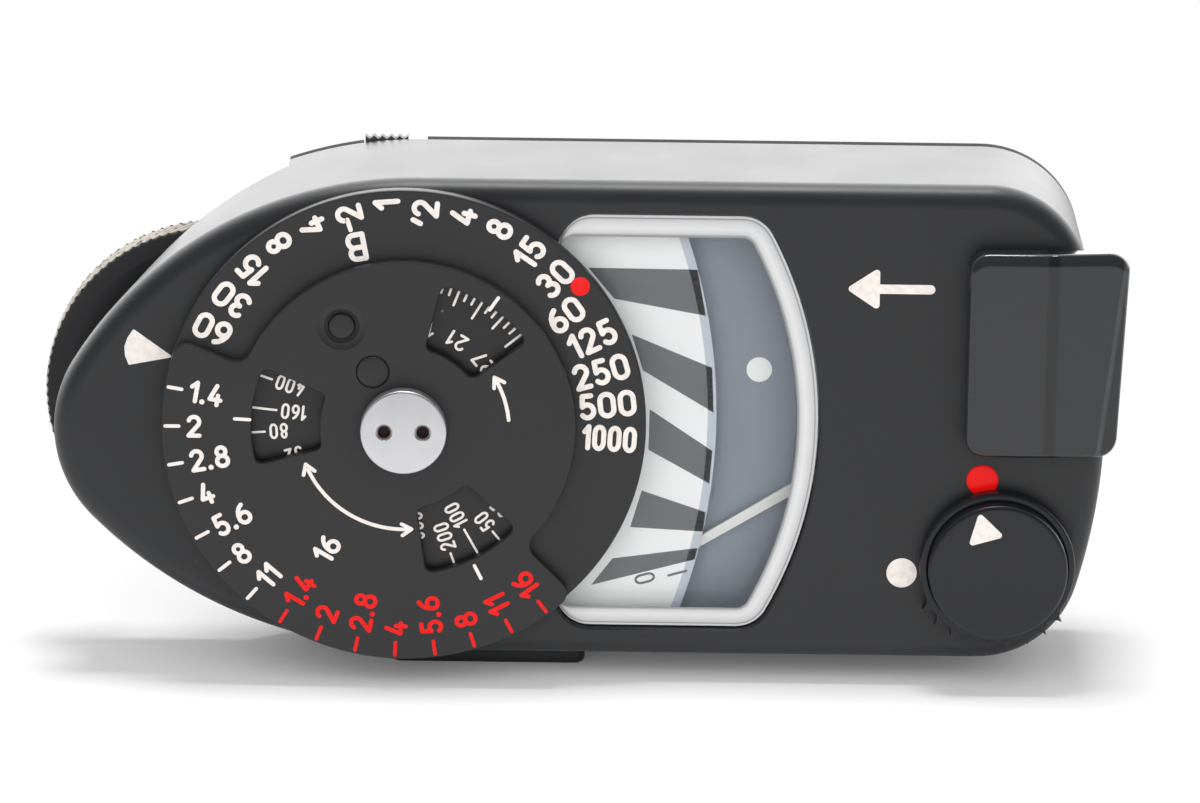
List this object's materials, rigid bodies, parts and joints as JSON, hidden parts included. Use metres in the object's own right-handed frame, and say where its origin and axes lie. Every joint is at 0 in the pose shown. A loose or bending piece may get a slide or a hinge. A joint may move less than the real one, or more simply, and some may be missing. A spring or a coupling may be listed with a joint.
{
  "type": "shoe mount light meter",
  "caption": "Coupled light meter with stacked calculator discs, a needle window, a measuring slide and a range knob on an egg-nosed housing over a shoe foot.",
  "frame": {"origin": "centre of the shoe foot's underside", "axes": "+Z out of the dial face, +X from the dial towards the measuring switch, +Y towards the rear wall that faces the photographer; the photocell looks along -Y"},
  "size_m": [0.0722, 0.0346, 0.0196],
  "materials": {
    "black_enamel": "satin black enamel on die-cast metal",
    "black_enamel_satin": "satin black enamel",
    "black_anodised": "black anodised, knurled rim",
    "dial_black": "satin black enamel with white figures",
    "gloss_black": "polished black moulding",
    "moulding_black": "black moulding",
    "plated_steel": "satin nickel plate",
    "steel": "bright steel",
    "cast_magnet": "sintered magnet",
    "brass": "turned brass",
    "copper": "copper alloy",
    "clear_glass": "clear, polished, bevelled edge",
    "white_plastic": "frosted white sheet",
    "slate_enamel": "matt slate blue enamel",
    "white_enamel": "white enamel on aluminium",
    "laminate": "paper laminate",
    "ceramic": "glazed"
  },
  "bodies": {
    "housing": {"top_cover": "black_enamel", "base_plate": "black_enamel_satin", "nose_plate": "black_enamel_satin", "shoe_foot": "plated_steel", "foot_screw_1": "steel", "foot_screw_2": "steel", "cover_screw_1": "steel", "cover_screw_2": "steel", "cover_screw_3": "steel", "cover_screw_4": "steel", "wheel_bush": "brass", "dial_bush": "brass", "window_glass": "clear_glass", "stripe_panel": "white_plastic", "scale_plate": "slate_enamel", "meter_yoke": "steel", "core_magnet": "cast_magnet", "upper_bridge": "brass", "lower_bridge": "brass", "hairspring": "brass", "return_spring": "steel", "contact_block": "laminate", "contact_leaf": "copper", "detent_spring": "steel", "photocell_hood": "black_enamel_satin", "cell_window": "clear_glass", "photocell": "ceramic", "battery_chamber": "moulding_black", "battery_contact": "copper", "button_cell": "plated_steel", "key_spring": "steel", "circuit_board": "laminate", "calibration_pot": "white_plastic", "series_resistor": "ceramic"},
    "wheel": {"coupling_wheel": "black_anodised", "wheel_shaft": "steel", "coupling_pinion": "brass", "pin_spring": "steel"},
    "pin": {"coupling_pin": "steel"},
    "dial": {"dial_spindle": "steel", "dial_gear": "brass", "shutter_speed_disc": "dial_black", "film_speed_disc": "dial_black", "friction_washer": "steel", "spanner_nut": "plated_steel"},
    "aperture_setting": {"aperture_disc": "dial_black", "disc_rivet": "dial_black"},
    "lock": {"lock_button": "dial_black"},
    "needle": {"needle": "white_enamel", "moving_coil": "copper"},
    "switch": {"measuring_switch": "gloss_black", "switch_carriage": "brass"},
    "range": {"range_knob": "gloss_black", "range_cam": "white_plastic"},
    "lid": {"battery_lid": "black_enamel_satin"},
    "check_key": {"battery_check_key": "gloss_black"}
  },
  "joints": [
    {"name": "dial_turn", "type": "hinge", "parent": "housing", "child": "dial", "pos_m": [-0.024, 0, 0.017], "axis": [0, 0, 1], "range_deg": [0, 162]},
    {"name": "wheel_turn", "type": "hinge", "parent": "housing", "child": "wheel", "pos_m": [-0.03695, 0, 0.009], "axis": [0, 0, 1], "range_deg": [-405, 0]},
    {"name": "pin_slide", "type": "slide", "parent": "wheel", "child": "pin", "axis": [0, 0, 1], "range_m": [0, 0.001], "stiffness_N_per_m": 150, "springref_m": -0.0005, "deforming": ["pin_spring"]},
    {"name": "film_speed_turn", "type": "hinge", "parent": "dial", "child": "aperture_setting", "pos_m": [-0.024, 0, 0.018], "axis": [0, 0, 1], "range_deg": [-29.25, 39]},
    {"name": "lock_press", "type": "slide", "parent": "aperture_setting", "child": "lock", "axis": [0, 0, -1], "range_m": [0, 0.0002], "stiffness_N_per_m": 400, "springref_m": -0.0003},
    {"name": "needle_swing", "type": "hinge", "parent": "housing", "child": "needle", "pos_m": [0.0105, 0, 0.0138], "axis": [0, 0, 1], "range_deg": [-68, 6.3], "stiffness_Nm_per_rad": 0.00002, "springref_deg": 6.3},
    {"name": "switch_slide", "type": "slide", "parent": "housing", "child": "switch", "axis": [-1, 0, 0], "range_m": [0, 0.003], "stiffness_N_per_m": 300, "springref_m": -0.002, "deforming": ["return_spring"]},
    {"name": "range_turn", "type": "hinge", "parent": "housing", "child": "range", "pos_m": [0.01575, -0.0094, 0.017], "axis": [0, 0, 1], "range_deg": [0, 90]},
    {"name": "lid_turn", "type": "hinge", "parent": "housing", "child": "lid", "pos_m": [-0.0165, 0.008, 0.004], "axis": [0, 0, -1], "range_deg": [0, 45]},
    {"name": "check_key_slide", "type": "slide", "parent": "housing", "child": "check_key", "axis": [1, 0, 0], "range_m": [0, 0.0012], "stiffness_N_per_m": 200, "springref_m": -0.001}
  ],
  "couplings": [
    {"joint": "wheel_turn", "follows": "dial_turn", "ratio": -2.5}
  ]
}
